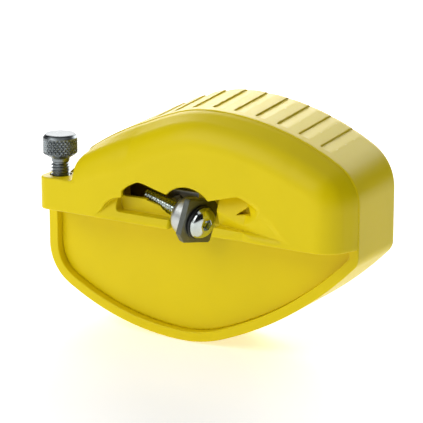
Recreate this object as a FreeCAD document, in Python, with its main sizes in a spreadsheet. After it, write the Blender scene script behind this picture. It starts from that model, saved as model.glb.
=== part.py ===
"""Ski sidewall planer: two-part plastic housing, indexable hexagonal blade, thumb-screw depth stop.

Frame: X runs along the ski (right), Y points from the guide plane into the grip (back), Z is up.
The origin is mid-width on the corner where the base guide plane (y = 0) meets the edge guide
plane (z = 0), so a ski edge lies along X through the origin. Millimetres.
"""
import FreeCAD, Part
import math
import os

from FreeCAD import Placement, Rotation, Vector

os.makedirs("parts", exist_ok=True)
doc = FreeCAD.newDocument("sidewall_planer")

# ---------------------------------------------------------------- driving dimensions
DIMENSIONS = [
    ("half_width", 53.3, "half of the housing's width"),
    ("flank_start", 2.5, "height where the upper outline leaves the left side"),
    ("shoulder_radius", 4.5, "outline arc 1, at the left side"),
    ("crown_radius", 40.0, "outline arc 3, over the top"),
    ("fall_radius", 80.0, "outline arc 4, down to the right"),
    ("corner_radius", 14.4, "outline arc 5, into the right side"),
    ("shell_depth", 23.5, "rear shell, rim to back"),
    ("shell_wall", 3.1, "rear shell wall, seen as the rim round the panel"),
    ("back_wall", 3.0, "rear shell back wall"),
    ("back_round", 3.0, "rounding of the rear shell's back edge"),
    ("fit_gap", 0.1, "gap between the front body and the shell wall"),
    ("panel_inset", 2.5, "panel front behind the rim"),
    ("panel_back", 5.0, "panel back behind the rim"),
    ("block_depth", 10.0, "upper block in front of the rim"),
    ("block_left", -38.5, "left wall of the upper block"),
    ("block_corner", 8.0, "corner of the block above the boss"),
    ("block_round", 7.0, "rounding of the block's front edge"),
    ("boss_left", -50.4, "left wall of the screw boss"),
    ("boss_top", 10.0, "top of the screw boss"),
    ("boss_round", 3.0, "rounding of the boss's left edge"),
    ("stop_x", -45.8, "depth screw axis"),
    ("stop_y", -4.0, "depth screw axis"),
    ("insert_radius", 3.88, "brass insert outside"),
    ("insert_low", 1.5, "brass insert bottom"),
    ("insert_high", 9.5, "brass insert top"),
    ("stop_bore", 3.0, "M6 bore of the insert, as a plain radius"),
    ("stop_shank", 2.95, "M6 shank, as a plain radius"),
    ("stop_foot", 2.6, "radius of the glide foot"),
    ("mouth_x", 2.2, "middle of the chip mouth"),
    ("mouth_floor", -5.5, "y of the trough floor"),
    ("mouth_depth", 2.2, "y of the deep slot's end"),
    ("trough_low", 2.7, "bottom of the trough"),
    ("trough_left", -23.1, "left end of the trough"),
    ("trough_right", 33.0, "right end of the trough"),
    ("slot_low", 7.0, "bottom of the deep slot"),
    ("bump_radius", 9.7, "round relief over the blade"),
    ("bump_height", 3.8, "centre height of that relief"),
    ("well_left", -4.1, "blade well"),
    ("well_right", 12.5, "blade well"),
    ("blade_x", 4.9, "centre of the blade's outer face"),
    ("blade_y", -6.8, "centre of the blade's outer face"),
    ("blade_z", 3.1, "centre of the blade's outer face"),
    ("blade_turn", 15.35, "blade axis turned towards the front, degrees"),
    ("blade_droop", 9.7, "blade axis tipped down, degrees"),
    ("blade_flats", 14.0, "blade across flats"),
    ("blade_thick", 2.0, "blade thickness"),
    ("blade_hole", 2.2, "blade centre hole radius"),
    ("seat_radius", 6.0, "blade holder seat radius"),
    ("seat_long", 5.5, "blade holder seat length"),
    ("face_gap", 0.05, "gap between stacked faces that turn"),
    ("clamp_bore", 2.0, "M4 bore of the holder, as a plain radius"),
    ("clamp_shank", 1.95, "M4 shank, as a plain radius"),
    ("clamp_tail", 23.0, "M4 shank behind the blade's outer face"),
    ("clamp_channel", 2.6, "radius of the relief round the shank's free end"),
    ("washer_radius", 5.2, "blade washer"),
    ("washer_thick", 0.7, "blade washer"),
    ("post_radius", 3.6, "housing screw posts"),
    ("screw_radius", 1.48, "housing and holder screw shanks"),
    ("screw_head", 2.8, "housing and holder screw heads"),
    ("groove_pitch", 7.1, "grip grooves along the top"),
    ("groove_first", -32.0, "step of the first grip groove"),
    ("groove_ramp", 3.5, "width of a groove's slope back up"),
    ("groove_deep", 0.9, "depth of a grip groove"),
    ("groove_start", 3.0, "grip grooves start behind the rim"),
]
GROOVE_COUNT = 11
OVER = 1.0  # how far a cutting tool runs past the face it cuts
BACKWARD = (0, 1, 0)
UPWARD = (0, 0, 1)

sheet = doc.addObject("Spreadsheet::Sheet", "Dims")
for row, (alias, value, note) in enumerate(DIMENSIONS, start=1):
    sheet.set(f"A{row}", alias)
    sheet.set(f"B{row}", str(value))
    sheet.set(f"C{row}", note)
    sheet.setAlias(f"B{row}", alias)
doc.recompute()


def dim(alias):
    return float(sheet.get(alias))


# ---------------------------------------------------------------- small helpers
def bind(obj, **sizes):
    """Bind an object's properties to cells or to formulas of cells."""
    for prop, formula in sizes.items():
        obj.setExpression(prop, formula)
    return obj


def cell(*aliases):
    return " + ".join(f"Dims.{a}" for a in aliases)


def box(name, low, sizes):
    """A box with its low corner at low; sizes are three formulas."""
    obj = doc.addObject("Part::Box", name)
    obj.Placement.Base = Vector(*low)
    return bind(obj, Length=sizes[0], Width=sizes[1], Height=sizes[2])


def cylinder(name, base, direction, radius, height):
    """A cylinder from base along direction; radius and height are formulas."""
    obj = doc.addObject("Part::Cylinder", name)
    obj.Placement = Placement(Vector(*base), Rotation(Vector(0, 0, 1), Vector(*direction)))
    return bind(obj, Radius=radius, Height=height)


def fuse(name, shapes):
    obj = doc.addObject("Part::MultiFuse", name)
    obj.Shapes = shapes
    return obj


def cut(name, base, tools):
    tool = tools[0] if len(tools) == 1 else fuse(name + "_tools", tools)
    obj = doc.addObject("Part::Cut", name)
    obj.Base = base
    obj.Tool = tool
    return obj


def common(name, a, b):
    obj = doc.addObject("Part::Common", name)
    obj.Base = a
    obj.Tool = b
    return obj


def fillet(name, base, radius, wanted):
    """Round the edges of base for which wanted(edge) is true."""
    doc.recompute()
    obj = doc.addObject("Part::Fillet", name)
    obj.Base = base
    picked = [i for i, edge in enumerate(base.Shape.Edges, start=1) if wanted(edge)]
    obj.Edges = [(i, radius, radius) for i in picked]
    return obj


def profile(name, edges, y):
    """A sketch in the XZ plane at height y; its edges are given as (x, z) geometry."""
    sketch = doc.addObject("Sketcher::SketchObject", name)
    sketch.Placement = Placement(Vector(0, y, 0), Rotation(Vector(1, 0, 0), 90))
    sketch.addGeometry(edges, False)
    return sketch


def prism(name, edges, y, length):
    """The profile's outline at y pushed back along +Y; length is a formula."""
    obj = doc.addObject("Part::Extrusion", name)
    obj.Base = profile(name + "_sketch", edges, y)
    obj.DirMode = "Custom"
    obj.Dir = Vector(0, 1, 0)
    obj.Solid = True
    return bind(obj, LengthFwd=length)


def line(p, q):
    return Part.LineSegment(Vector(*p, 0), Vector(*q, 0))


def arc(centre, radius, heading, end):
    """The arc that a point makes as its heading turns right, from heading to end (degrees)."""

    def at(angle):
        turn = math.radians(angle)
        return Vector(centre[0] - radius * math.sin(turn), centre[1] + radius * math.cos(turn), 0)

    return Part.Arc(at(heading), at((heading + end) / 2), at(end))


def polygon(points):
    return [line(p, q) for p, q in zip(points, points[1:] + points[:1])]


# ---------------------------------------------------------------- the housing's outline
SHOULDER_END, FLANK_END, CROWN_END, FALL_END = 46.4, 20.6, -0.8, -31.0
sine = {angle: math.sin(math.radians(angle)) for angle in (SHOULDER_END, FLANK_END, CROWN_END, FALL_END)}
# The flank's radius closes the row of arcs on the housing's width.
FLANK_RADIUS = (
    2 * dim("half_width")
    - dim("shoulder_radius") * (1 - sine[SHOULDER_END])
    - dim("crown_radius") * (sine[FLANK_END] - sine[CROWN_END])
    - dim("fall_radius") * (sine[CROWN_END] - sine[FALL_END])
    - dim("corner_radius") * (sine[FALL_END] + 1)
) / (sine[SHOULDER_END] - sine[FLANK_END])


def upper_arcs(inset):
    """(centre, radius, heading, end) of the arcs over the top, left to right, and their last point."""
    x, z = -dim("half_width") + inset, dim("flank_start")
    heading = 90.0
    rows = []
    for radius, end in (
        (dim("shoulder_radius"), SHOULDER_END),
        (FLANK_RADIUS, FLANK_END),
        (dim("crown_radius"), CROWN_END),
        (dim("fall_radius"), FALL_END),
        (dim("corner_radius"), -90.0),
    ):
        reach = radius - inset
        turn, stop = math.radians(heading), math.radians(end)
        centre = (x + reach * math.sin(turn), z - reach * math.cos(turn))
        rows.append((centre, reach, heading, end))
        x, z = centre[0] - reach * math.sin(stop), centre[1] + reach * math.cos(stop)
        heading = end
    return rows, (x, z)


def leaf(inset=0.0):
    """The closed outline: the upper arcs, a side, and the same again turned by half a turn."""
    rows, last = upper_arcs(inset)
    first = (-dim("half_width") + inset, dim("flank_start"))
    edges = [arc(*row) for row in rows]
    edges.append(line(last, (-first[0], -first[1])))
    edges += [arc((-c[0], -c[1]), r, heading + 180, end + 180) for c, r, heading, end in rows]
    edges.append(line((-last[0], -last[1]), first))
    return edges


def leaf_top(x):
    """Height of the upper outline at x."""
    for centre, radius, heading, end in upper_arcs(0.0)[0]:
        reach = (centre[0] - x) / radius
        if math.sin(math.radians(end)) <= reach <= math.sin(math.radians(heading)):
            return centre[1] + radius * math.sqrt(1 - reach**2)
    raise ValueError(x)


def block_outline():
    """The upper block: the upper outline, cut off at the left by a wall and a round corner."""
    rows, last = upper_arcs(0.0)
    left, corner = dim("block_left"), dim("block_corner")
    flank = rows[1]
    reach = flank[1] - corner
    over = left + corner - flank[0][0]
    centre = (left + corner, flank[0][1] + math.sqrt(reach**2 - over**2))
    join = math.degrees(math.asin(-over / reach))
    edges = [line((left, 0), (left, centre[1])), arc(centre, corner, 90, join)]
    edges += [arc(flank[0], flank[1], join, flank[3])]
    edges += [arc(*row) for row in rows[2:]]
    return edges + [line(last, (last[0], 0)), line((last[0], 0), (left, 0))]


# ---------------------------------------------------------------- rear shell
POSTS = [(-38.0, -13.0), (-17.0, 21.0), (38.0, 13.0), (17.0, -21.0)]
POST_TOP_GAP = 0.1
HEAD_THICK = 1.9
HEAD_SINK = 2.0


def rear_shell():
    outer = prism("shell_outer", leaf(), 0, cell("shell_depth"))
    back = dim("shell_depth")
    rounded = fillet(
        "shell_rounded", outer, dim("back_round"), lambda e: min(v.Y for v in e.Vertexes) > back - 0.01
    )
    inside_long = f"Dims.shell_depth - Dims.back_wall + {OVER}"
    inside = prism("shell_inside", leaf(dim("shell_wall")), -OVER, inside_long)
    # Above the ledge the block covers the rim, with a seam between them.
    seam = box("shell_seam", (-60, -OVER, 0), ("120", f"Dims.fit_gap + {OVER}", "60"))
    tools = [inside, seam]
    for number, (x, z) in enumerate(POSTS, start=1):
        hole, sink = (x, back - 5, z), (x, back - HEAD_SINK, z)
        tools.append(cylinder(f"shell_hole_{number}", hole, BACKWARD, "Dims.screw_radius + 0.22", "10"))
        tools.append(cylinder(f"shell_sink_{number}", sink, BACKWARD, "Dims.screw_head + 0.3", "5"))
    for number in range(GROOVE_COUNT):
        x = dim("groove_first") + number * dim("groove_pitch")
        end = x + dim("groove_ramp")
        height, end_height = leaf_top(x), leaf_top(end)
        teeth = [(x, height + OVER), (x, height - dim("groove_deep")), (end, end_height)]
        teeth.append((end, end_height + OVER))
        tools.append(prism(f"shell_groove_{number + 1}", polygon(teeth), dim("groove_start"), "30"))
    return cut("rear_shell", rounded, tools)


# ---------------------------------------------------------------- front body
CHIP_LEAN = 22.3  # degrees from upright


def mouth_half(side):
    """Corner points of the mouth outline from the ledge to the relief, side -1 left, +1 right."""
    middle = dim("mouth_x")
    dip = (7.1, 10.4)
    points = [(35.6, -OVER), (35.6, 0.0), (31.8, 1.3), (28.6, 4.2), (25.4, 6.7), (23.4, 7.3)]
    points += [(22.9, 9.0), (21.4, 10.4), (18.2, 12.3), (16.8, 12.8), (15.4, 12.6), dip]
    return [(middle + side * x, z) for x, z in points]


def mouth_outline():
    """The chip mouth on the front face: two long shoulders and a round relief over the blade."""
    left, right = mouth_half(-1), mouth_half(1)
    top = (dim("mouth_x"), dim("bump_height") + dim("bump_radius"))
    edges = [line(p, q) for p, q in zip(left, left[1:])]
    edges.append(Part.Arc(Vector(*left[-1], 0), Vector(*top, 0), Vector(*right[-1], 0)))
    edges += [line(p, q) for p, q in zip(right[::-1], right[-2::-1])]
    return edges + [line(right[0], left[0])]


def front_mouth():
    """The cutters that open the mouth: sloped chip face, trough, deep slot and blade well."""
    front = -dim("block_depth")
    low = front - OVER
    outline = prism("mouth_prism", mouth_outline(), low, "Dims.mouth_depth + Dims.block_depth + 1")
    # The chip face leans back from the ledge's front edge: a tall box tipped about that edge.
    lean = math.radians(CHIP_LEAN)
    thick = 12
    slope = box(
        "mouth_slope",
        (-40, front - thick * math.cos(lean), thick * math.sin(lean)),
        ("85", str(thick), f"Dims.slot_low / cos({CHIP_LEAN} deg) + 1"),
    )
    slope.Placement.Rotation = Rotation(Vector(1, 0, 0), -CHIP_LEAN)
    trough = box(
        "mouth_trough",
        (dim("trough_left"), low, dim("trough_low")),
        (
            "Dims.trough_right - Dims.trough_left",
            "Dims.mouth_floor + Dims.block_depth + 1",
            "Dims.slot_low - Dims.trough_low",
        ),
    )
    slot = box(
        "mouth_slot",
        (-40, low, dim("slot_low")),
        ("85", "Dims.mouth_depth + Dims.block_depth + 1", "10"),
    )
    well = box(
        "mouth_well",
        (dim("well_left"), low, -OVER),
        (
            "Dims.well_right - Dims.well_left",
            "Dims.mouth_depth + Dims.block_depth + 1",
            "Dims.slot_low + 2",
        ),
    )
    inside = fuse("mouth_inside", [slope, trough, slot, well])
    return common("mouth", outline, inside)


def front_body():
    inset = dim("shell_wall") + dim("fit_gap")
    panel = prism("panel", leaf(inset), dim("panel_inset"), "Dims.panel_back - Dims.panel_inset")
    plug_leaf = prism("plug_leaf", leaf(inset), -0.01, "Dims.panel_back + 0.01")
    plug_side = box("plug_side", (-60, -1, 0), ("120", "10", "60"))
    plug = common("plug", plug_leaf, plug_side)
    block = prism("block", block_outline(), -dim("block_depth"), cell("block_depth"))
    front = -dim("block_depth")

    def front_edge(edge):
        flat = max(v.Y for v in edge.Vertexes) < front + 0.01
        return flat and max(v.Z for v in edge.Vertexes) > 0.01 and edge.BoundBox.XMax > dim("block_left") + 1

    rounded = fillet("block_rounded", block, dim("block_round"), front_edge)
    boss = box(
        "boss",
        (dim("boss_left"), front, 0),
        ("Dims.block_left - Dims.boss_left + 2", "Dims.block_depth", "Dims.boss_top"),
    )
    boss_rounded = fillet(
        "boss_rounded",
        boss,
        dim("boss_round"),
        lambda e: e.BoundBox.XMax < dim("boss_left") + 0.01 and e.BoundBox.YMax < front + 0.01,
    )
    post_long = "Dims.shell_depth - Dims.back_wall - Dims.panel_back - 0.1 + 0.5"
    solids = [panel, plug, rounded, boss_rounded]
    for number, (x, z) in enumerate(POSTS, start=1):
        base = (x, dim("panel_back") - 0.5, z)
        solids.append(cylinder(f"post_{number}", base, BACKWARD, cell("post_radius"), post_long))
    whole = fuse("front_solids", solids)

    tools = [front_mouth()]
    tools.append(cylinder("clamp_relief", along(-27), AXIS, cell("clamp_channel"), "22"))
    for number, (x, z) in enumerate(POSTS, start=1):
        base = (x, dim("panel_back") + 2, z)
        tools.append(cylinder(f"pilot_{number}", base, BACKWARD, "Dims.screw_radius + 0.02", "30"))
    for number, (x, z) in enumerate(HOLDER_SCREWS, start=1):
        base = (x, -2, z)
        tools.append(cylinder(f"foot_pilot_{number}", base, BACKWARD, "Dims.screw_radius + 0.02", "20"))
    axis = (dim("stop_x"), dim("stop_y"))
    tools.append(cylinder("boss_bore", (*axis, -OVER), UPWARD, "Dims.stop_bore + 0.15", "20"))
    tools.append(
        cylinder(
            "insert_seat",
            (*axis, dim("insert_low")),
            UPWARD,
            "Dims.insert_radius + 0.02",
            "Dims.insert_high - Dims.insert_low",
        )
    )
    window = (str(ARM_SIZE[0] + 0.2), "10", str(ARM_SIZE[1] + 0.2))
    tools.append(box("arm_window", (ARM_LOW[0] - 0.1, 0, ARM_LOW[1] - 0.1), window))
    # Two core-outs behind the block keep the moulding's walls even.
    core_leaf = prism("core_leaf", leaf(6.0), -7.0, "13")
    core_right = box("core_right", (36.5, -8, 3.0), ("30", "20", "40"))
    core_top = box("core_top", (-24.0, -8, 16.5), ("50", "20", "40"))
    cores = common("cores", core_leaf, fuse("core_boxes", [core_right, core_top]))
    kept = [
        cylinder(f"core_post_{number}", (x, -8, z), BACKWARD, cell("post_radius"), "15")
        for number, (x, z) in enumerate(POSTS, start=1)
        if z > 0
    ]
    tools.append(cut("core_tool", cores, kept))
    return cut("front_body", whole, tools)


# ---------------------------------------------------------------- blade unit
def blade_axis():
    turn, droop = math.radians(dim("blade_turn")), math.radians(dim("blade_droop"))
    return Vector(math.cos(droop) * math.cos(turn), -math.cos(droop) * math.sin(turn), -math.sin(droop))


AXIS = blade_axis()
ACROSS = Vector(-AXIS.y, AXIS.x, 0).normalize()
CENTRE = Vector(dim("blade_x"), dim("blade_y"), dim("blade_z"))
FRAME = Placement(CENTRE, Rotation(ACROSS, AXIS.cross(ACROSS), AXIS, "ZXY"))
ARM_LOW = (-3.7, 0.8)
ARM_SIZE = (6.7, 8.0)
FOOT_BACK = 2.4
HOLDER_SCREWS = [(-9.5, 4.8), (17.0, 4.8)]


def along(distance):
    """A point on the blade axis, at a distance outwards from the blade's outer face."""
    return CENTRE + AXIS * distance


def blade():
    hexagon = doc.addObject("Part::Prism", "blade_hexagon")
    hexagon.Polygon = 6
    bind(hexagon, Circumradius="Dims.blade_flats / 3 ^ 0.5", Height=cell("blade_thick"))
    hexagon.Placement = Placement(along(-dim("blade_thick")), FRAME.Rotation)
    hole = cylinder("blade_bore", along(-10), AXIS, cell("blade_hole"), "20")
    return cut("blade", hexagon, [hole])


def blade_holder():
    back = -dim("blade_thick") - dim("face_gap") - dim("seat_long")
    seat = cylinder("holder_seat", along(back), AXIS, cell("seat_radius"), cell("seat_long"))
    rim = fillet(
        "holder_rim", seat, 0.8, lambda e: e.BoundBox.Center.distanceToPoint(along(back)) < 0.5
    )
    arm = box(
        "holder_arm",
        (ARM_LOW[0], -4.0, ARM_LOW[1]),
        (str(ARM_SIZE[0]), "Dims.panel_back + 4.0", str(ARM_SIZE[1])),
    )
    foot = box("holder_foot", (-13.5, dim("panel_back"), 0.8), ("34.5", str(FOOT_BACK), "8"))
    solid = fuse("holder_solid", [rim, arm, foot])
    tools = [cylinder("holder_bore", along(-40), AXIS, cell("clamp_bore"), "60")]
    for number, (x, z) in enumerate(HOLDER_SCREWS, start=1):
        tools.append(cylinder(f"foot_hole_{number}", (x, 0, z), BACKWARD, "Dims.screw_radius + 0.22", "20"))
    return cut("blade_holder", solid, tools)


def blade_washer():
    disc = cylinder("washer_disc", along(dim("face_gap")), AXIS, cell("washer_radius"), cell("washer_thick"))
    hole = cylinder("washer_bore", along(-5), AXIS, "Dims.clamp_shank + 0.05", "10")
    return cut("blade_washer", disc, [hole])


def blade_screw():
    head_at = 2 * dim("face_gap") + dim("washer_thick")
    flange = cylinder("head_flange", along(head_at), AXIS, "4.75", "0.5")
    dome = doc.addObject("Part::Cone", "head_dome")
    bind(dome, Radius1="4.6", Radius2="2.9", Height="1.9")
    dome.Placement = Placement(along(head_at + 0.5), FRAME.Rotation)
    shank_long = f"Dims.clamp_tail + {head_at + 0.2}"
    shank = cylinder("clamp_shank", along(-dim("clamp_tail")), AXIS, cell("clamp_shank"), shank_long)
    socket = doc.addObject("Part::Prism", "head_socket")
    socket.Polygon = 6
    bind(socket, Circumradius="3 / 3 ^ 0.5", Height="4")
    socket.Placement = Placement(along(head_at + 0.6), FRAME.Rotation)
    return cut("blade_screw", fuse("clamp_solid", [flange, dome, shank]), [socket])


# ---------------------------------------------------------------- depth stop
HEAD_LOW, HEAD_FULL, HEAD_EDGE, HEAD_TOP = 15.15, 16.7, 21.45, 22.6
HEAD_RADIUS, NECK_RADIUS, CROWN_FLAT = 5.2, 2.75, 4.5
SHANK_LOW, PIN_LOW, PIN_RADIUS = 3.5, 1.4, 1.0
FOOT_LOW, FOOT_TOP = 0.2, 3.3


def turned(name, points, base):
    """A PartDesign body turned about its own Z from (radius, height) points, standing at base."""
    body = doc.addObject("PartDesign::Body", name)
    plane = next(f for f in body.Origin.OriginFeatures if f.Role == "XZ_Plane")
    sketch = body.newObject("Sketcher::SketchObject", name + "_profile")
    sketch.AttachmentSupport = [(plane, "")]
    sketch.MapMode = "FlatFace"
    sketch.addGeometry(polygon(points), False)
    revolve = body.newObject("PartDesign::Revolution", name + "_turn")
    revolve.Profile = sketch
    revolve.ReferenceAxis = (sketch, ["V_Axis"])
    revolve.Angle = 360
    body.Placement = base
    return body


def depth_screw():
    shank = dim("stop_shank")
    points = [(0, PIN_LOW), (PIN_RADIUS, PIN_LOW), (PIN_RADIUS, SHANK_LOW), (shank - 0.4, SHANK_LOW)]
    points += [(shank, SHANK_LOW + 0.4), (shank, HEAD_LOW - 1), (NECK_RADIUS, HEAD_LOW - 0.7)]
    points += [(NECK_RADIUS, HEAD_LOW), (HEAD_RADIUS, HEAD_FULL), (HEAD_RADIUS, HEAD_EDGE)]
    points += [(CROWN_FLAT, HEAD_TOP), (0, HEAD_TOP)]
    return turned("depth_screw", points, Placement(Vector(dim("stop_x"), dim("stop_y"), 0), Rotation()))


def depth_foot():
    radius = dim("stop_foot")
    bore = PIN_RADIUS + 0.05
    points = [(0, FOOT_LOW), (radius - 0.5, FOOT_LOW), (radius, FOOT_LOW + 0.5), (radius, FOOT_TOP)]
    points += [(bore, FOOT_TOP), (bore, PIN_LOW - 0.1), (0, PIN_LOW - 0.1)]
    return turned("depth_foot", points, Placement(Vector(dim("stop_x"), dim("stop_y"), 0), Rotation()))


def thread_insert():
    low, high, outside, bore = dim("insert_low"), dim("insert_high"), dim("insert_radius"), dim("stop_bore")
    points = [(bore, low), (outside, low), (outside, high), (bore, high)]
    return turned("thread_insert", points, Placement(Vector(dim("stop_x"), dim("stop_y"), 0), Rotation()))


# ---------------------------------------------------------------- fasteners
def pan_screw(name, seat, length):
    """A screw driven in along -Y, its head's underside at seat."""
    shank, head = dim("screw_radius"), dim("screw_head")
    points = [(0, -length), (shank * 0.6, -length), (shank, 1.0 - length), (shank, 0), (head, 0)]
    points += [(head, HEAD_THICK * 0.5), (head * 0.75, HEAD_THICK), (1.0, HEAD_THICK), (1.0, 0.9), (0, 0.9)]
    return turned(name, points, Placement(Vector(*seat), Rotation(Vector(1, 0, 0), -90)))


def fasteners():
    made = []
    for number, (x, z) in enumerate(POSTS, start=1):
        made.append(pan_screw(f"housing_screw_{number}", (x, dim("shell_depth") - HEAD_SINK, z), 12.0))
    for number, (x, z) in enumerate(HOLDER_SCREWS, start=1):
        made.append(pan_screw(f"holder_screw_{number}", (x, dim("panel_back") + FOOT_BACK, z), 7.0))
    return made


# ---------------------------------------------------------------- build, check, write
parts = [rear_shell(), front_body(), thread_insert(), depth_foot(), depth_screw()]
parts += [blade_holder(), blade(), blade_washer(), blade_screw()]
parts += fasteners()
doc.recompute()

for obj in doc.Objects:
    if "Invalid" in obj.State or "Error" in obj.State:
        raise RuntimeError(f"{obj.Name} failed: {obj.State}")
for part in parts:
    part.Label = part.Name
    if part.Shape.isNull() or not part.Shape.isValid():
        raise RuntimeError(f"{part.Label} has no valid shape")
    if not part.Shape.Solids:
        raise RuntimeError(f"{part.Label} holds no solid")
    part.Shape.exportStep(f"parts/{part.Label}.step")
    size = part.Shape.BoundBox
    print(f"{part.Label}: {len(part.Shape.Solids)} solid, {part.Shape.Volume:.0f} mm3, {size}")
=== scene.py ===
"""Looks of a ski sidewall planer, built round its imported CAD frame.

The two mouldings are surfaces of distance fields, in millimetres: negative inside, and every edge
rounded where two faces meet. The turned parts are rings stacked along an axis.
"""
import math

import bpy
import numpy as np
from mathutils import Matrix, Vector


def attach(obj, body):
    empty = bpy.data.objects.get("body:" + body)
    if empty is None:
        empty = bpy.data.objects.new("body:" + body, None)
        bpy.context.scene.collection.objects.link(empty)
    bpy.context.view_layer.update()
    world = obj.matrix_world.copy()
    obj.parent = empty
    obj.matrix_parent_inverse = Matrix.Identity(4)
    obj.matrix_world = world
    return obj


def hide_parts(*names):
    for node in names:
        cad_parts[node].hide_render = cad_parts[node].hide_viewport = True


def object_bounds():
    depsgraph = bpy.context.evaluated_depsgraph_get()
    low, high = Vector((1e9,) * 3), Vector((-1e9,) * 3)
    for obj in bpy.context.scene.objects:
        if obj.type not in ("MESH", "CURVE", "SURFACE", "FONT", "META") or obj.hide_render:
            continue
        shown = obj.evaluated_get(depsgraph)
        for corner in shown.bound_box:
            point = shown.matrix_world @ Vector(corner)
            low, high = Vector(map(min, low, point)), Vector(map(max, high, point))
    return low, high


MM = 0.001
NET_STEP = 0.35

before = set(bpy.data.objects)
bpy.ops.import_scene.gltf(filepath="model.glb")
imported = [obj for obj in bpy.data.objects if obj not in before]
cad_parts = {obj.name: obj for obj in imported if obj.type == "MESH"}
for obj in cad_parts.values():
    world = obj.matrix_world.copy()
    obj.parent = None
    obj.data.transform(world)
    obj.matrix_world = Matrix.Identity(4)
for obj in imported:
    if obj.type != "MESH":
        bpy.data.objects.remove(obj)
cad_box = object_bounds()


# ---------------------------------------------------------------- distance fields
def both(a, b, r=0.0):
    """Inside a and b, their common edge rounded by r."""
    if np.isscalar(r) and r == 0.0:
        return np.maximum(a, b)
    return np.minimum(np.maximum(a, b), -r) + np.hypot(np.maximum(a + r, 0), np.maximum(b + r, 0))


def either(a, b, r=0.0):
    """Inside a or b, the corner between them filled by r."""
    return -both(-a, -b, r)


def without(a, b, r=0.0):
    """Inside a but not b, the new edge rounded by r."""
    return both(a, -b, r)


def slab(v, low, high):
    """Between two planes square to one axis."""
    return np.abs(v - (low + high) / 2) - (high - low) / 2


def brick(x, y, z, low, high, r):
    """A box between two corners, its edges rounded by r."""
    across = both(slab(x, low[0], high[0]), slab(z, low[2], high[2]), r)
    return both(across, slab(y, low[1], high[1]), r)


def polygon_distance(x, z, points):
    """Signed distance to a closed polygon in the XZ plane."""
    best = np.full(np.broadcast(x, z).shape, 1e9)
    inside = np.zeros(best.shape, bool)
    for (px, pz), (qx, qz) in zip(points, points[1:] + points[:1]):
        ex, ez = qx - px, qz - pz
        t = np.clip(((x - px) * ex + (z - pz) * ez) / (ex * ex + ez * ez), 0, 1)
        best = np.minimum(best, (x - px - t * ex) ** 2 + (z - pz - t * ez) ** 2)
        if ez != 0:
            crosses = (pz > z) != (qz > z)
            inside ^= crosses & (x < px + (z - pz) * ex / ez)
    return np.where(inside, -1, 1) * np.sqrt(best)


def arcs_distance(x, z, arcs):
    """Signed distance to a convex outline of arcs (centre x, centre z, radius, from, to).

    An arc's angles are those of its outward normal from +Z towards -X, in degrees.
    """
    best = None
    for cx, cz, radius, start, stop in arcs:
        dx, dz = x - cx, z - cz
        away = np.hypot(dx, dz)
        first = -math.sin(math.radians(start)) * dx + math.cos(math.radians(start)) * dz
        last = -math.sin(math.radians(stop)) * dx + math.cos(math.radians(stop)) * dz
        middle = math.radians((start + stop) / 2)
        ahead = -math.sin(middle) * dx + math.cos(middle) * dz
        within = ahead >= away * math.cos(math.radians(abs(start - stop) / 2))
        d = np.where(within, away, np.maximum(first, last)) - radius
        best = d if best is None else np.maximum(best, d)
    return best


# ---------------------------------------------------------------- surfaces of fields
def gradient(field, p, h=0.02):
    """The field's slope at the points, from its values h to either side."""
    out = np.empty_like(p)
    for k in range(3):
        a, b = p.copy(), p.copy()
        a[:, k] += h
        b[:, k] -= h
        out[:, k] = (field(*a.T) - field(*b.T)) / (2 * h)
    return out


def net(field, low, high, step):
    """Points, normals and quads of the field's zero surface, one point to a grid cell."""
    axes = [np.arange(a, b + step, step) for a, b in zip(low, high)]
    n = [len(a) for a in axes]
    f = field(axes[0][:, None, None], axes[1][None, :, None], axes[2][None, None, :])
    f = np.broadcast_to(f, n).astype(np.float32)
    corners = [(i, j, k) for i in (0, 1) for j in (0, 1) for k in (0, 1)]
    inside = f < 0
    count = np.zeros([m - 1 for m in n], np.int8)
    for i, j, k in corners:
        count += inside[i : n[0] - 1 + i, j : n[1] - 1 + j, k : n[2] - 1 + k]
    cells = np.argwhere((count > 0) & (count < 8))
    value = {c: f[tuple((cells + c).T)] for c in corners}
    total = np.zeros((len(cells), 3))
    hits = np.zeros(len(cells))
    for a in corners:
        for axis in range(3):
            if a[axis]:
                continue
            b = tuple(1 if k == axis else a[k] for k in range(3))
            va, vb = value[a], value[b]
            crossed = (va < 0) != (vb < 0)
            t = np.where(crossed, va / np.where(crossed, va - vb, 1), 0)
            point = np.repeat(np.array([a], float), len(cells), 0)
            point[:, axis] += t
            total += point * crossed[:, None]
            hits += crossed
    points = (cells + total / hits[:, None]) * step + np.array(low)
    for _ in range(4):
        slope = gradient(field, points)
        size = np.maximum((slope**2).sum(1), 0.2)
        move = -slope * (field(*points.T) / size)[:, None]
        points += np.clip(move, -step / 2, step / 2)
    normals = gradient(field, points)
    normals /= np.maximum(np.linalg.norm(normals, axis=1), 1e-6)[:, None]

    index = np.full(count.shape, -1, np.int64)
    index[tuple(cells.T)] = np.arange(len(cells))
    quads = []
    for axis in range(3):
        u, v = [k for k in range(3) if k != axis]
        size = [m - 1 if k == axis else m for k, m in enumerate(n)]
        here = inside[tuple(slice(0, m) for m in size)]
        ahead = [slice(1, m + 1) if k == axis else slice(0, m) for k, m in enumerate(size)]
        there = inside[tuple(ahead)]
        edges = np.argwhere(here != there)
        going_out = here[tuple(edges.T)]
        ring = []
        for du, dv in ((1, 1), (0, 1), (0, 0), (1, 0)):
            c = edges.copy()
            c[:, u] -= du
            c[:, v] -= dv
            ring.append(index[tuple(c.T)])
        ring = np.stack(ring, 1)
        flip = going_out if axis == 1 else ~going_out
        ring[flip] = ring[flip][:, ::-1]
        quads.append(ring)
    return points, normals, np.concatenate(quads)


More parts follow.
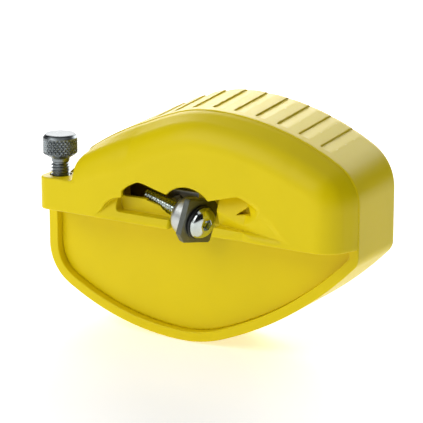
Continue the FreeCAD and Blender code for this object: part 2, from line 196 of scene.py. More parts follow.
def mesh_piece(name, points, faces, normals=None):
    """A smooth-shaded mesh object from points in millimetres."""
    mesh = bpy.data.meshes.new(name)
    rows = np.asarray(faces).tolist() if normals is not None else faces
    mesh.from_pydata((np.asarray(points) * MM).tolist(), [], rows)
    mesh.polygons.foreach_set("use_smooth", [True] * len(mesh.polygons))
    mesh.update()
    if normals is not None:
        mesh.normals_split_custom_set_from_vertices(normals.tolist())
    piece = bpy.data.objects.new(name, mesh)
    bpy.context.scene.collection.objects.link(piece)
    return piece


def field_piece(name, field, low, high, step=NET_STEP):
    """The field's surface between two corners, kept inside the CAD's own box."""
    points, normals, quads = net(field, low, high, step)
    points = np.clip(points, *(np.array([tuple(v) for v in cad_box]) / MM))
    return mesh_piece(name, points, quads, normals)


# ---------------------------------------------------------------- the housing
# The upper outline is five tangent arcs from left to right. TURNS are the slopes, in degrees, at
# which one arc ends and the next begins, and FLANK is the radius that makes the arcs span the full
# width. The lower outline is the same, turned half a turn.
HALF_WIDTH, FLANK_START = 53.3, 2.5
TURNS = (46.4, 20.6, -0.8, -31.0)
SINES = [math.sin(math.radians(t)) for t in TURNS]
SHOULDER, CROWN, FALL, CORNER = 4.5, 40.0, 80.0, 14.4
FLANK = (
    2 * HALF_WIDTH
    - SHOULDER * (1 - SINES[0])
    - CROWN * (SINES[1] - SINES[2])
    - FALL * (SINES[2] - SINES[3])
    - CORNER * (SINES[3] + 1)
) / (SINES[0] - SINES[1])


def upper_arcs():
    """The five arcs, as arcs_distance takes them."""
    x, z, heading, rows = -HALF_WIDTH, FLANK_START, 90.0, []
    for radius, end in zip((SHOULDER, FLANK, CROWN, FALL, CORNER), (*TURNS, -90.0)):
        a, b = math.radians(heading), math.radians(end)
        cx, cz = x + radius * math.sin(a), z - radius * math.cos(a)
        rows.append((cx, cz, radius, heading, end))
        x, z = cx - radius * math.sin(b), cz + radius * math.cos(b)
        heading = end
    return rows


UPPER = upper_arcs()
LOWER = [(-cx, -cz, r, start + 180, stop + 180) for cx, cz, r, start, stop in UPPER]
BLOCK_LEFT, BLOCK_CORNER = -38.5, 8.0
DEPTH, WALL, GAP, SEAM = 23.5, 3.1, 0.03, 0.1
DRAFT, DRAFT_FROM, DRAFT_FULL = 0.06, -38.0, -18.0
NARROWED, NARROW_X, NARROW_Z = 1.7, (-37.5, 4), (4, 6)


def drafted(x, y, z):
    """The height at which a point would lie if the upper half were as tall in front as at the back."""
    share = DRAFT * np.interp(x, (DRAFT_FROM, DRAFT_FULL), (0, 1)) * (1 - np.clip(y / DEPTH, 0, 1))
    return np.where(z > 0, z * (1 + share), z)


def leaf(x, y, z):
    """Signed distance to the housing's outline."""
    return arcs_distance(x, drafted(x, y, z), UPPER + LOWER)


def narrowed(x, z):
    """How much narrower the housing is behind the boss than the plain outline."""
    leftward = np.clip((NARROW_X[0] - x) / NARROW_X[1], 0, 1)
    return NARROWED * leftward * np.clip((z - NARROW_Z[0]) / NARROW_Z[1], 0, 1)


def block_arcs():
    """The upper outline, ended at the left by the block's own corner and wall."""
    fx, fz, radius = UPPER[1][:3]
    reach, over = radius - BLOCK_CORNER, BLOCK_LEFT + BLOCK_CORNER - fx
    corner = (BLOCK_LEFT + BLOCK_CORNER, fz + math.sqrt(reach**2 - over**2))
    join = math.degrees(math.asin(-over / reach))
    return [(*corner, BLOCK_CORNER, 90, join), (fx, fz, radius, join, UPPER[1][4]), *UPPER[2:]]


BLOCK = block_arcs()
POSTS = [(-38.0, -13.0), (-17.0, 21.0), (38.0, 13.0), (17.0, -21.0)]
GROOVE_FIRST, GROOVE_PITCH, GROOVE_COUNT = -32.0, 7.1, 11
GROOVE_DEEP, GROOVE_RAMP, GROOVE_FRONT = 0.55, 3.5, 3.0
BACK_EDGE, BACK_WALL, INNER_CORNER = 2.0, 3.0, 1.0
SCREW_HEAD_HOLE, SCREW_HOLE, SCREW_SEAT = 3.1, 1.7, 21.5


def shell_field(x, y, z):
    """The rear shell: hollow, with a rounded back, grooves along its top and four screw seats."""
    edge = leaf(x, y, z) + narrowed(x, z)
    f = both(edge, y - DEPTH, BACK_EDGE)
    f = both(f, np.where(z > 0, SEAM, 0.0) - y, 0.3)
    f = without(f, both(edge + WALL, y - DEPTH + BACK_WALL, INNER_CORNER), 0.3)
    half = GROOVE_PITCH / 2
    across = np.mod(x - GROOVE_FIRST + half, GROOVE_PITCH) - half
    ramp = -GROOVE_DEEP * (1 - across / GROOVE_RAMP) - edge
    groove = both(-across, ramp * 0.97, 0.15)
    last = GROOVE_FIRST + GROOVE_PITCH * (GROOVE_COUNT - 0.5)
    groove = both(groove, slab(x, GROOVE_FIRST - half, last))
    groove = both(both(groove, GROOVE_FRONT - y, 0.3), -z)
    f = without(f, groove, 0.15)
    for px, pz in POSTS:
        away = np.hypot(x - px, z - pz)
        f = without(f, either(both(away - SCREW_HEAD_HOLE, SCREW_SEAT - y), away - SCREW_HOLE), 0.2)
    return f


# The upper block's flat front face turns on a large fillet into a flank that leans back to the
# seam. The flank is this wide, seen from the front, at each of these places along the block.
BLOCK_FRONT, ROLL_RADIUS = 9.8, 5.0
FLANK_AT, FLANK_WIDE = (-38.5, -19.0, 5.0, 36.0, 46.0), (2.5, 6.0, 5.0, 5.0, 4.0)
TONGUE = 0.5


def rolled_block(x, y, z):
    """The upper block; a thin tongue of it goes on behind the seam, just under the shell's rim."""
    high = drafted(x, y, z)
    inward = -arcs_distance(x, high, UPPER)
    wide = np.interp(x, FLANK_AT, FLANK_WIDE)
    flank = (-y * wide - inward * BLOCK_FRONT) / np.hypot(wide, BLOCK_FRONT)
    rim = 0.02 * np.clip(y / SEAM, 0, 1) - inward
    f = both(both(flank, -BLOCK_FRONT - y, ROLL_RADIUS), rim)
    f = both(f, arcs_distance(x, high, BLOCK), 1.0)
    return both(f, y - TONGUE)


# The mouth's outline is the same on both sides of its middle: a foot below the ledge, an S of two
# arcs, and listed points up to a round bump over the blade.
MOUTH_MID = 2.2
BUMP = (MOUTH_MID, 3.8, 9.7)
S_FOOT, S_RADIUS, S_TURN, S_STEPS = 35.6, 7.6, 59, 8
S_HEAD = [(22.4, 9.5), (21.2, 10.6), (19.9, 11.4), (18.2, 12.3), (16.8, 12.8), (15.2, 12.6), (7.1, 10.4)]


def s_wall(side):
    """The mouth's outline from the ledge to the bump, on one side."""
    points = [(35.9, -3.0), (S_FOOT, 0.0)]
    for k in range(1, S_STEPS + 1):
        turn = math.radians(S_TURN * k / S_STEPS)
        points.append((S_FOOT - S_RADIUS * math.sin(turn), S_RADIUS * (1 - math.cos(turn))))
    x, z = points[-1]
    whole = math.radians(S_TURN)
    for k in range(1, S_STEPS + 1):
        turn = math.radians(S_TURN * (1 - k / S_STEPS))
        over = S_RADIUS * (math.sin(whole) - math.sin(turn))
        points.append((x - over, z + S_RADIUS * (math.cos(turn) - math.cos(whole))))
    points += S_HEAD
    return [(MOUTH_MID + side * px, pz) for px, pz in points]


def mouth_outline():
    left, right = s_wall(-1), s_wall(1)
    cx, cz, radius = BUMP
    start = math.atan2(left[-1][1] - cz, left[-1][0] - cx)
    stop = math.atan2(right[-1][1] - cz, right[-1][0] - cx)
    crown = [start + (stop - start) * k / 16 for k in range(1, 16)]
    return left + [(cx + radius * math.cos(a), cz + radius * math.sin(a)) for a in crown] + right[::-1]


MOUTH = mouth_outline()
POCKET, POCKET_BACK = [(17.3, 6.9), (20.9, 9.6), (22.8, 7.7)], -4.5
LEAN = math.radians(22.3)
# The blade turns on AXIS, and BLADE_AT is the middle of its front face. The stop screw's own axis
# goes straight up from STOP.
AXIS = Vector((0.95054, -0.26093, -0.16849)).normalized()
BLADE_AT = Vector((4.9, -6.8, 3.1))
STOP = (-45.8, -4.0, 0.0)


def axis_distance(x, y, z):
    """(distance along the blade's axis, distance from it)."""
    dx, dy, dz = x - BLADE_AT.x, y - BLADE_AT.y, z - BLADE_AT.z
    s = dx * AXIS.x + dy * AXIS.y + dz * AXIS.z
    return s, np.sqrt(np.maximum(dx**2 + dy**2 + dz**2 - s**2, 0))


# The chip face leans back upwards from CHIP_FRONT, up to a height that differs left and right. To
# the right it fades out of the block's front face.
CHIP_FRONT, CHIP_TOP_LEFT, CHIP_TOP_RIGHT, CHIP_SPLIT = -10, 7.0, 14.0, 6
CHIP_FADE_AT, CHIP_FADE = (20.5, 26.0), (0.0, 3.2)
# The trough for the ski's edge is level on the left. To the right its floor rises towards a line
# through (SHALLOW_X, SHALLOW_Z), falling by SHALLOW_FALL, where it meets the front face.
TROUGH_LEFT, TROUGH_RIGHT, TROUGH_LOW, TROUGH_HIGH, TROUGH_BACK = -23.1, 10.0, 2.7, 7.2, -5.5
SHALLOW_FROM, SHALLOW_TO, SHALLOW_HIGH = 8.0, 38.0, 12.0
SHALLOW_FRONT, SHALLOW_RISE, SHALLOW_X, SHALLOW_Z, SHALLOW_FALL = -9.9, 0.336, 24.8, 7.4, 0.569
# The slot's lower lip follows the screw's lower outline as the camera sees it.
LIP_AT, LIP_HEIGHT = (-14.2, -13.9, -4.2), (7.0, 6.5, 4.4)
SLOT_RIGHT, HOLLOW_BACK = -3.9, 5.5
ARM_HOLE = (-4.0, -4.0, 0.5), (3.3, 5.6, 5.9)
WELL_LEFT, WELL_RIGHT, WELL_BACK = -4.1, 10.5, 2.2
# The cavity behind the slot leaves a thin wall, which stands further forward above the trough.
CAVITY_X, CAVITY_Z = (-26.5, -1.0), (1.6, 16.5)
CAVITY_STEP, CAVITY_FRONT_LOW, CAVITY_FRONT_HIGH = 7.4, -4.3, -8.6


def mouth_field(x, y, z):
    """The chip relief: a leaning face, a trough for the ski's edge, and a slot with a cavity behind."""
    fade = np.interp(x, CHIP_FADE_AT, CHIP_FADE)
    slope = (y - CHIP_FRONT + fade) * math.cos(LEAN) - z * math.sin(LEAN)
    chip_face = both(slope, z - np.where(x > CHIP_SPLIT, CHIP_TOP_RIGHT, CHIP_TOP_LEFT))
    trough = both(slab(x, TROUGH_LEFT, TROUGH_RIGHT), slab(z, TROUGH_LOW, TROUGH_HIGH), 1.5)
    trough = both(trough, y - TROUGH_BACK, 0.3)
    below = SHALLOW_Z - SHALLOW_FALL * (x - SHALLOW_X) - z
    shallow = (y - SHALLOW_FRONT - SHALLOW_RISE * below) / 1.07
    reach = both(slab(x, SHALLOW_FROM, SHALLOW_TO), slab(z, TROUGH_LOW, SHALLOW_HIGH))
    trough = either(trough, both(shallow, reach))
    lip = np.interp(x, LIP_AT, LIP_HEIGHT)
    slot = both(both(y - HOLLOW_BACK, lip - z), x - SLOT_RIGHT)
    slot = either(slot, brick(x, y, z, *ARM_HOLE, 0.2))
    well = both(slab(x, WELL_LEFT, WELL_RIGHT), y - WELL_BACK, 0.5)
    pocket = both(polygon_distance(x, z, POCKET), y - POCKET_BACK)
    inside = either(either(chip_face, trough, 0.2), either(slot, pocket))
    inside = both(either(inside, well, 0.8), polygon_distance(x, z, MOUTH), 0.4)
    cavity = both(y - HOLLOW_BACK, np.where(z < CAVITY_STEP, CAVITY_FRONT_LOW, CAVITY_FRONT_HIGH) - y)
    cavity = both(cavity, both(slab(x, *CAVITY_X), slab(z, *CAVITY_Z)))
    return either(inside, cavity)


PANEL_FRONT, PANEL_BACK, PLUG_FRONT = 2.5, 5.0, -0.5
BOSS_LEFT, BOSS_RIGHT, BOSS_TOP, BOSS_ROUND = -50.4, -20.0, 10.0, 3.0
POST_RADIUS, POST_HOLE, POST_FROM, POST_TO, POST_HOLE_FROM = 3.6, 1.5, 4.0, 20.4, 9.0
# The mouth's edge is sharp on the left and soft on the right.
MOUTH_EDGE_AT, MOUTH_EDGE = (16, 26), (0.3, 2.4)
CHANNEL_RADIUS, CHANNEL_ALONG = 2.15, (-27, -5)
BORE_RADIUS, INSERT_RADIUS, INSERT_ALONG = 3.25, 3.9, (1.5, 9.5)


def front_field(x, y, z):
    """The front moulding: panel, upper block with its mouth, boss for the stop screw and four posts."""
    edge = leaf(x, y, z) + narrowed(x, z) + WALL + GAP
    panel = both(edge, slab(y, PANEL_FRONT, PANEL_BACK), 0.08)
    plug = both(both(edge, slab(y, PLUG_FRONT, PANEL_BACK)), -z, 0.3)
    block = rolled_block(x, y, z)
    boss = both(slab(x, BOSS_LEFT, BOSS_RIGHT), -BLOCK_FRONT - y, BOSS_ROUND)
    boss = both(both(boss, y, 0.2), z - BOSS_TOP, 0.45)
    f = both(either(block, boss), -z, 0.4)
    f = either(f, either(plug, panel, 0.3))
    for px, pz in POSTS:
        away = np.hypot(x - px, z - pz)
        f = either(f, both(away - POST_RADIUS, slab(y, POST_FROM, POST_TO), 0.2))
        f = without(f, both(away - POST_HOLE, POST_HOLE_FROM - y))
    f = without(f, mouth_field(x, y, z), np.interp(x, MOUTH_EDGE_AT, MOUTH_EDGE))
    s, away = axis_distance(x, y, z)
    f = without(f, both(away - CHANNEL_RADIUS, slab(s, *CHANNEL_ALONG)), 0.2)
    bore = np.hypot(x - STOP[0], y - STOP[1])
    insert = both(bore - INSERT_RADIUS, slab(z, *INSERT_ALONG))
    return without(f, either(bore - BORE_RADIUS, insert), 0.2)


shell = field_piece("grip_shell", shell_field, (-54.5, -1.2, -38.2), (54.5, 24.7, 38.2))
front = field_piece("front_moulding", front_field, (-51.6, -11.2, -35.2), (54.5, 21.6, 38.2))

# ---------------------------------------------------------------- turned parts
AROUND, SHARP_ABOVE = 2 * math.pi, 32


def axis_frame(base, direction):
    """Three unit vectors with the last along direction, and the origin of a turned part."""
    w = Vector(direction).normalized()
    u = Vector((0, 0, 1)).cross(w) if abs(w.z) < 0.9 else Vector((1, 0, 0))
    u.normalize()
    return np.array(base, float), np.array(u), np.array(w.cross(u)), np.array(w)


def turned(name, rows, base, direction, segments=96, ring=False):
    """Rings of (height, radius); either may be an array round the axis. ring joins last to first."""
    origin, u, v, w = axis_frame(base, direction)
    angle = np.arange(segments) * AROUND / segments
    points = []
    for height, radius in rows:
        r, h = np.broadcast_to(radius, segments), np.broadcast_to(height, segments)
        flat = origin + np.outer(r * np.cos(angle), u) + np.outer(r * np.sin(angle), v)
        points.append(flat + np.outer(h, w))
    points = np.concatenate(points)
    step = np.arange(segments)
    after = (step + 1) % segments
    faces = []
    pairs = [(k, k + 1) for k in range(len(rows) - 1)] + ([(len(rows) - 1, 0)] if ring else [])
    for a, b in pairs:
        first, second = a * segments, b * segments
        quads = np.stack([first + step, first + after, second + after, second + step], 1)
        faces += quads.tolist()
    if not ring:
        centres = [origin + w * float(np.mean(rows[0][0])), origin + w * float(np.mean(rows[-1][0]))]
        low, high = len(points), len(points) + 1
        points = np.concatenate([points, centres])
        top = (len(rows) - 1) * segments
        faces += [[low, int(j), int(i)] for i, j in zip(step, after)]
        faces += [[high, int(top + i), int(top + j)] for i, j in zip(step, after)]
    piece = mesh_piece(name, points, faces)
    piece.data.set_sharp_from_angle(angle=math.radians(SHARP_ABOVE))
    return piece


def thread(angle, height, crest, pitch, deep, low, high):
    """Radius of a right-hand thread, which runs out at both ends."""
    phase = np.mod((height - pitch * angle / AROUND) / pitch, 1.0)
    rise = 1 - np.clip((np.abs(phase - 0.5) * 2 - 0.15) / 0.6, 0, 1)
    ends = np.clip(min(height - low, high - height) / (0.6 * pitch), 0, 1)
    return crest - deep + deep * rise * ends


def knurl(angle, height, radius, teeth, pitch, deep, low, high):
    """Radius of a diamond knurl: two crossing rows of grooves, fading at both chamfers."""
    a = np.mod(angle * teeth / AROUND + height / pitch, 1.0)
    b = np.mod(angle * teeth / AROUND - height / pitch, 1.0)
    ridge = np.minimum(1 - np.abs(2 * a - 1), 1 - np.abs(2 * b - 1))
    ends = np.clip(min(height - low, high - height) / 0.35, 0, 1)
    return radius - deep * (1 - np.clip(ridge * 1.6, 0, 1)) * ends


def insert_outline(angle, side, cut, blunt):
    """Radius of a square plate with two opposite corners cut off and the others slightly blunted."""
    straight = side / 2 / np.cos(np.mod(angle + math.pi / 4, math.pi / 2) - math.pi / 4)
    reach = side / math.sqrt(2)
    corner = np.mod(angle + math.pi / 4, math.pi) - math.pi / 2
    cut_off = (reach - cut) / np.cos(corner)
    corner = np.mod(angle - math.pi / 4, math.pi) - math.pi / 2
    return np.minimum(np.minimum(straight, cut_off), (reach - blunt) / np.cos(corner))


def depth_screw_piece():
    """The thumb screw, as rows of height and radius: pin for the foot, thread, neck, knurled head."""
    around = np.arange(288) * AROUND / 288
    rows = [(1.4, 0.85), (1.55, 1.0), (3.4, 1.0), (3.5, 2.3)]
    for h in np.arange(3.6, 13.75, 0.1):
        rows.append((h, thread(around, h, 2.95, 1.0, 0.58, 3.6, 13.7)))
    rows += [(13.9, 2.4), (14.2, 2.7), (15.1, 2.75), (15.2, 2.85), (16.55, 4.95)]
    for h in np.arange(16.7, 21.5, 0.1):
        rows.append((h, knurl(around, h, 5.18, 26, 1.45, 0.42, 16.7, 21.45)))
    rows += [(21.6, 5.1), (22.35, 4.55), (22.5, 4.35), (22.55, 3.9), (22.55, 1.0)]
    return turned("thumb_screw", rows, STOP, (0, 0, 1), 288)


DOME_TURN = 62


def blade_screw_piece():
    """The clamp screw, as rows of height and radius: thread, flange, domed head and hex socket."""
    around = np.arange(144) * AROUND / 144
    socket = 1.5 / np.cos(np.mod(around, AROUND / 6) - AROUND / 12)
    rows = [(-23.0, 1.2), (-22.85, 1.5)]
    for h in np.arange(-22.7, 0.0, 0.08):
        rows.append((h, thread(around, h, 2.0, 1.0, 0.5, -22.8, 0.3)))
    rows += [(0.35, 1.6), (0.75, 1.9)]
    rows += [(0.8, 4.5), (0.86, 4.68), (1.0, 4.75), (1.2, 4.75), (1.33, 4.66)]
    for k in range(1, 13):
        turn = math.radians(DOME_TURN * k / 12)
        height = 1.4 + 1.9 * math.sin(turn) / math.sin(math.radians(DOME_TURN))
        rows.append((height, 2.35 + 2.2 * (math.cos(turn) - 0.469) / 0.531))
    rows += [(3.33, 2.2), (3.33, socket + 0.12), (3.25, socket), (1.5, socket)]
    rows += [(1.45, socket * 0.9), (1.1, 0.4)]
    return turned("clamp_screw", rows, BLADE_AT, AXIS, 144)


BLADE_TURN, BLADE_SIDE, BLADE_CUT, BLADE_BLUNT = math.radians(11), 13.08, 1.6, 0.35
BLADE_THICK, BLADE_HOLE = 2.0, 2.2


def ringed(outside, inside, low, high, bevel):
    """Rows of a plate with a hole, all four edges chamfered."""
    return [
        (low, outside - bevel), (low + bevel, outside), (high - bevel, outside), (high, outside - bevel),
        (high, inside + bevel), (high - bevel, inside), (low + bevel, inside), (low, inside + bevel),
    ]


around = np.arange(180) * AROUND / 180
outline = insert_outline(around + BLADE_TURN, BLADE_SIDE, BLADE_CUT, BLADE_BLUNT)
plate = ringed(outline, BLADE_HOLE, -BLADE_THICK, 0.0, 0.12)
blade = turned("blade_tip", plate, BLADE_AT, AXIS, 180, ring=True)
washer = turned("clamp_washer", ringed(5.2, 2.0, 0.05, 0.75, 0.1), BLADE_AT, AXIS, 120, ring=True)
thumb = depth_screw_piece()
clamp = blade_screw_piece()


SEAT_RADIUS, SEAT_BACK, SEAT_FRONT, SEAT_ROUND = 6.0, -7.55, -2.05, 2.6
ARM = (-3.7, -4.0, 0.8), (3.0, 7.4, 5.6)
FOOT_PLATE = (-13.5, 5.0, 0.8), (21.0, 7.4, 8.0)
HOLDER_SCREWS = ((-9.5, 4.8), (17.0, 4.8))
HOLDER_STEP = 0.22


def holder_field(x, y, z):
    """The holder: a round seat behind the blade, an arm back from it and a plate behind the panel."""
    s, away = axis_distance(x, y, z)
    seat = both(both(away - SEAT_RADIUS, SEAT_BACK - s, SEAT_ROUND), s - SEAT_FRONT, 0.3)
    f = either(seat, brick(x, y, z, *ARM, 0.3), 0.3)
    f = either(f, brick(x, y, z, *FOOT_PLATE, 0.3), 0.3)
    f = without(f, both(away - 2.0, slab(s, -40, 20)), 0.15)
    for px, pz in HOLDER_SCREWS:
        f = without(f, np.hypot(x - px, z - pz) - 1.7)
    return both(f, s - SEAT_FRONT)


holder = field_piece("blade_seat", holder_field, (-14.3, -13.0, -3.3), (21.8, 8.2, 11.2), HOLDER_STEP)


def foot_piece():
    """The nylon foot: a short cylinder with a blind hole for the screw's pin."""
    rows = [(0.2, 1.9), (0.25, 2.2), (0.45, 2.5), (0.7, 2.6), (3.15, 2.6), (3.3, 2.45)]
    rows += [(3.3, 1.2), (3.15, 1.05), (1.3, 1.05)]
    return turned("glide_foot", rows, STOP, (0, 0, 1), 96)


def screw_piece(name, seat):
    """A pan-head screw with a cross recess, driven in along -Y."""
    around = np.arange(120) * AROUND / 120
    turn = np.mod(around + AROUND / 8, AROUND / 4) - AROUND / 8
    cross = np.clip(0.38 / np.maximum(np.abs(np.sin(turn)), 1e-3), 0.55, 1.45)
    rows = [(-12.0, 0.25), (-11.0, 1.0)]
    for h in np.arange(-10.9, -1.0, 0.15):
        rows.append((h, thread(around, h, 1.48, 1.3, 0.35, -10.9, -1.0)))
    rows += [(-0.8, 1.2), (-0.05, 1.2), (0.0, 2.6), (0.15, 2.8), (0.9, 2.8)]
    for k in range(1, 8):
        turn_up = math.radians(80 * k / 7)
        rows.append((0.9 + 0.98 * math.sin(turn_up), 1.7 + 1.1 * math.cos(turn_up)))
    rows += [(1.88, cross + 0.06), (1.8, cross), (0.95, cross * 0.75), (0.7, 0.2)]
    return turned(name, rows, seat, (0, 1, 0), 120)


screws = [screw_piece(f"back_screw_{k}", (x, DEPTH - 2.0, z)) for k, (x, z) in enumerate(POSTS, start=1)]
foot = foot_piece()


# ---------------------------------------------------------------- materials
# Most of a noise's factor lies between these two values.
NOISE_REACH = (0.3, 0.7)


def material(name, colour, metallic, roughness):
    mat = bpy.data.materials.new(name)
    mat.use_nodes = True
    shader = mat.node_tree.nodes["Principled BSDF"]
    shader.inputs["Base Color"].default_value = (*colour, 1)
    shader.inputs["Metallic"].default_value = metallic
    shader.inputs["Roughness"].default_value = roughness
    return mat, mat.node_tree, shader


def noise(tree, scale, detail=3.0, stretch=(1, 1, 1)):
    """Noise in object space; scale is in cells per metre."""
    place = tree.nodes.new("ShaderNodeTexCoord")
    mapping = tree.nodes.new("ShaderNodeMapping")
    mapping.inputs["Scale"].default_value = stretch
    node = tree.nodes.new("ShaderNodeTexNoise")
    node.inputs["Scale"].default_value = scale
    node.inputs["Detail"].default_value = detail
    tree.links.new(place.outputs["Object"], mapping.inputs["Vector"])
    tree.links.new(mapping.outputs["Vector"], node.inputs["Vector"])
    return node.outputs["Fac"]


def ramp(tree, fac, low, high):
    """The factor turned into a colour between low and high."""
    node = tree.nodes.new("ShaderNodeValToRGB")
    for element, at, colour in zip(node.color_ramp.elements, NOISE_REACH, (low, high)):
        element.position = at
        element.color = (*colour, 1)
    tree.links.new(fac, node.inputs["Fac"])
    return node.outputs["Color"]


def spread(tree, fac, low, high):
    """The factor turned into a value between low and high."""
    node = tree.nodes.new("ShaderNodeMapRange")
    node.inputs["To Min"].default_value = low
    node.inputs["To Max"].default_value = high
    node.inputs["From Min"].default_value = NOISE_REACH[0]
    node.inputs["From Max"].default_value = NOISE_REACH[1]
    tree.links.new(fac, node.inputs["Value"])
    return node.outputs["Result"]


def bump(tree, shader, fac, strength, distance):
    """Bump the surface by the factor, over a distance in metres."""
    node = tree.nodes.new("ShaderNodeBump")
    node.inputs["Strength"].default_value = strength
    node.inputs["Distance"].default_value = distance
    tree.links.new(fac, node.inputs["Height"])
    tree.links.new(node.outputs["Normal"], shader.inputs["Normal"])


def moulded(name, colour, roughness):
    """Satin moulded plastic: faint flow marks in the colour and a fine eroded grain."""
    mat, tree, shader = material(name, colour, 0.0, roughness)
    shader.inputs["Specular IOR Level"].default_value = 0.18
    dark = tuple(c * 0.965 for c in colour)
    tree.links.new(ramp(tree, noise(tree, 60, 2), dark, colour), shader.inputs["Base Color"])
    gloss = spread(tree, noise(tree, 900, 2), roughness - 0.04, roughness + 0.05)
    tree.links.new(gloss, shader.inputs["Roughness"])
    bump(tree, shader, noise(tree, 5200, 2), 0.12, 0.00004)
    return mat


def metal(name, colour, roughness, stretch=(1, 1, 1), grain=3000, strength=0.1, shaded_top=None):
    """Metal with a slightly uneven polish and fine turning marks along stretch.

    The last argument is a height in metres and the share of the colour that is kept above it: painted
    shade, darkening a part's top face so that it reflects the lamps less brightly.
    """
    mat, tree, shader = material(name, colour, 1.0, roughness)
    dark = tuple(c * 0.86 for c in colour)
    tint = ramp(tree, noise(tree, 500, 3), dark, colour)
    # Painted shade: the colour is darker above the given height.
    if shaded_top:
        place = tree.nodes.new("ShaderNodeTexCoord")
        axes = tree.nodes.new("ShaderNodeSeparateXYZ")
        above = tree.nodes.new("ShaderNodeMath")
        above.operation = "GREATER_THAN"
        above.inputs[1].default_value = shaded_top[0]
        mix = tree.nodes.new("ShaderNodeMixRGB")
        mix.inputs["Color2"].default_value = (*[c * shaded_top[1] for c in colour], 1)
        tree.links.new(place.outputs["Object"], axes.inputs["Vector"])
        tree.links.new(axes.outputs["Z"], above.inputs[0])
        tree.links.new(above.outputs["Value"], mix.inputs["Fac"])
        tree.links.new(tint, mix.inputs["Color1"])
        tint = mix.outputs["Color"]
    tree.links.new(tint, shader.inputs["Base Color"])
    fine = noise(tree, grain, 2, stretch)
    tree.links.new(spread(tree, fine, roughness * 0.8, roughness * 1.25), shader.inputs["Roughness"])
    bump(tree, shader, fine, strength, 0.00003)
    return mat


YELLOW = (0.80, 0.63, 0.002)
SKINS = {
    "shell_plastic": moulded("shell_plastic_look", YELLOW, 0.33),
    "front_plastic": moulded("front_plastic_look", YELLOW, 0.36),
    "insert_brass": metal("brass_look", (0.72, 0.52, 0.22), 0.28),
    "foot_nylon": moulded("nylon_look", (0.03, 0.03, 0.032), 0.5),
    # Painted shade: the knurled head's top face, above 22.1 mm, keeps only 0.3 of the colour to dim its
    # lamp reflections.
    "knurled_steel": metal("knurled_look", (0.25, 0.275, 0.285), 0.34, (1, 1, 6), shaded_top=(0.0221, 0.3)),
    "holder_steel": metal("holder_look", (0.58, 0.60, 0.58), 0.36, (6, 1, 1)),
    "blade_carbide": metal("carbide_look", (0.16, 0.17, 0.15), 0.38, (1, 1, 1), 4200, 0.2),
    # Painted shade: the washer is coloured near black to stand for the shaded gap under the clamp
    # screw's head, not for a steel colour.
    "washer_steel": metal("washer_painted_shade_look", (0.08, 0.08, 0.08), 0.35),
    "screw_chrome": metal("chrome_look", (0.64, 0.70, 0.67), 0.16, (1, 1, 1), 1500, 0.03),
    "zinc_steel": metal("zinc_look", (0.55, 0.55, 0.52), 0.3),
}


def dress(piece, body, slot, *nodes):
    """Give a piece its material, its body and the CAD nodes that it stands for."""
    piece.data.materials.clear()
    piece.data.materials.append(SKINS[slot])
    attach(piece, body)
    if nodes:
        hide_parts(*nodes)


dress(shell, "housing", "shell_plastic", "rear_shell")
dress(front, "housing", "front_plastic", "front_body")
dress(holder, "housing", "holder_steel", "blade_holder")
dress(thumb, "stop_screw", "knurled_steel", "depth_screw")
dress(foot, "stop_foot", "foot_nylon", "depth_foot")
dress(blade, "blade", "blade_carbide", "blade")
dress(washer, "washer", "washer_steel", "blade_washer")
dress(clamp, "clamp_screw", "screw_chrome", "blade_screw")
for k, screw in enumerate(screws, start=1):
    dress(screw, "housing", "zinc_steel", f"housing_screw_{k}")
CAD_SHOWN = (
    ("thread_insert", "insert_brass"),
    ("holder_screw_1", "zinc_steel"),
    ("holder_screw_2", "zinc_steel"),
)
for node, slot in CAD_SHOWN:
    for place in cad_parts[node].material_slots:
        place.material = SKINS[slot]

# ---------------------------------------------------------------- floor, light, camera
RIGHT = Vector((0.8563, 0.5165, 0.0))
UP = Vector((-0.1389, 0.2303, 0.9632))
TOWARDS = Vector((0.4975, -0.8247, 0.2689))
CAMERA_AT = Vector((333.7, -545.2, 182.3)) * MM
# The first two are in the same unit, the third is in millimetres.
FOCAL_LENGTH, PICTURE_WIDTH, SENSOR_WIDTH = 2260, 423, 36
FLOOR = cad_box[0][2] - 0.0002


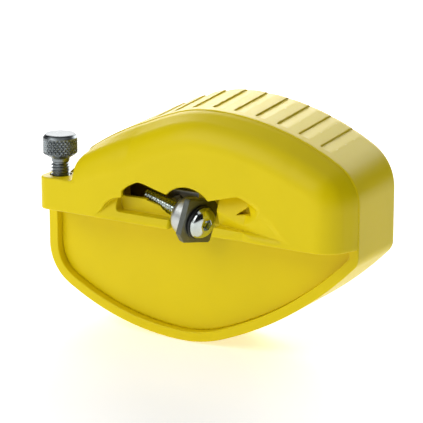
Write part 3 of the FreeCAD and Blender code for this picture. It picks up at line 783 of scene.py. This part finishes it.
def floor_piece():
    """A pale floor just under the object, lit a little from within so that it looks white."""
    half, cells = 3.0, 12
    side = np.linspace(-half, half, cells + 1)
    points = [(a / MM, b / MM, FLOOR / MM) for a in side for b in side]
    faces = []
    for i in range(cells):
        for j in range(cells):
            a = i * (cells + 1) + j
            faces.append((a, a + cells + 1, a + cells + 2, a + 1))
    floor = mesh_piece("studio_floor", points, faces)
    mat, tree, shader = material("floor_look", (0.93, 0.93, 0.925), 0.0, 0.75)
    white = ramp(tree, noise(tree, 6, 2), (0.915, 0.915, 0.91), (0.93, 0.93, 0.925))
    tree.links.new(white, shader.inputs["Base Color"])
    shader.inputs["Emission Color"].default_value = (1, 1, 1, 1)
    shader.inputs["Emission Strength"].default_value = 0.44
    floor.data.materials.append(mat)


def area(name, at, target, size, power):
    """A rectangular lamp, turned towards the target."""
    light = bpy.data.lights.new(name, "AREA")
    light.shape = "RECTANGLE"
    light.size, light.size_y = size
    light.energy = power
    lamp = bpy.data.objects.new(name, light)
    lamp.location = at
    lamp.rotation_euler = (Vector(target) - Vector(at)).to_track_quat("-Z", "Y").to_euler()
    bpy.context.scene.collection.objects.link(lamp)


floor_piece()
area("front_high", (-0.5, -0.9, 0.9), (0, 0, 0), (1.2, 0.8), 7.8)
area("front_left", (-0.55, -1.0, 0.35), (0, 0, 0), (1.2, 1.0), 3.2)
area("top", (0, 0, 1.3), (0, 0, 0), (1.4, 1.0), 3.2)
area("back_high", (-0.3, 1.0, 0.62), (0, 0, 0), (1.7, 0.6), 10.5)
area("back_low", (-0.45, 1.1, 0.4), (0, 0, 0), (1.7, 0.8), 10.5)

world = bpy.data.worlds.new("studio")
bpy.context.scene.world = world
world.use_nodes = True
world.node_tree.nodes["Background"].inputs["Color"].default_value = (1, 1, 1, 1)
world.node_tree.nodes["Background"].inputs["Strength"].default_value = 0.01

camera = bpy.data.objects.new("camera", bpy.data.cameras.new("camera"))
camera.data.sensor_width = SENSOR_WIDTH
camera.data.lens = FOCAL_LENGTH / PICTURE_WIDTH * SENSOR_WIDTH
camera.data.clip_end = 20
turn = Matrix((RIGHT, UP, TOWARDS)).transposed()
camera.matrix_world = Matrix.Translation(CAMERA_AT) @ turn.to_4x4()
bpy.context.scene.collection.objects.link(camera)
bpy.context.scene.camera = camera
bpy.context.scene.view_settings.view_transform = "Standard"
